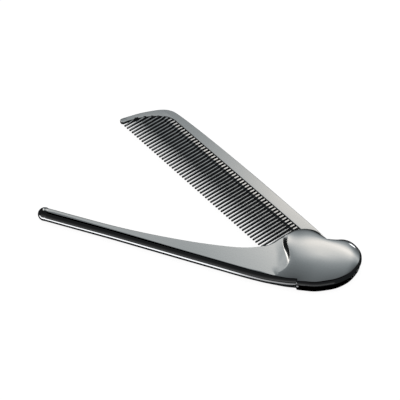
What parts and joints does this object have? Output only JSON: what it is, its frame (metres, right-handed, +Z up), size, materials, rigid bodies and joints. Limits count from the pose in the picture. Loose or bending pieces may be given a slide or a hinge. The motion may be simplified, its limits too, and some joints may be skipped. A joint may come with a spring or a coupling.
{
  "type": "folding detangling comb",
  "caption": "Pocket comb in dark chrome that folds into a slotted handle with a puffy heart over the pivot.",
  "frame": {"origin": "on the pivot pin's axis, on the flat underside that the comb rests on", "axes": "+X along the handle from its ball end to the heart, +Z up out of the heart's dome, the blade opens towards +Y"},
  "size_m": [0.1145, 0.0659, 0.006],
  "materials": {
    "dark_chrome": "polished dark chrome",
    "blade_chrome": "satin dark chrome",
    "pin_steel": "turned"
  },
  "bodies": {
    "handle": {"handle": "dark_chrome", "pivot_pin": "pin_steel"},
    "comb_blade": {"comb_blade": "blade_chrome"}
  },
  "joints": [
    {"name": "blade_fold", "type": "hinge", "parent": "handle", "child": "comb_blade", "pos_m": [0, 0, 0.0023], "axis": [0, 0, 1], "range_deg": [-149.8, 30.1]}
  ]
}
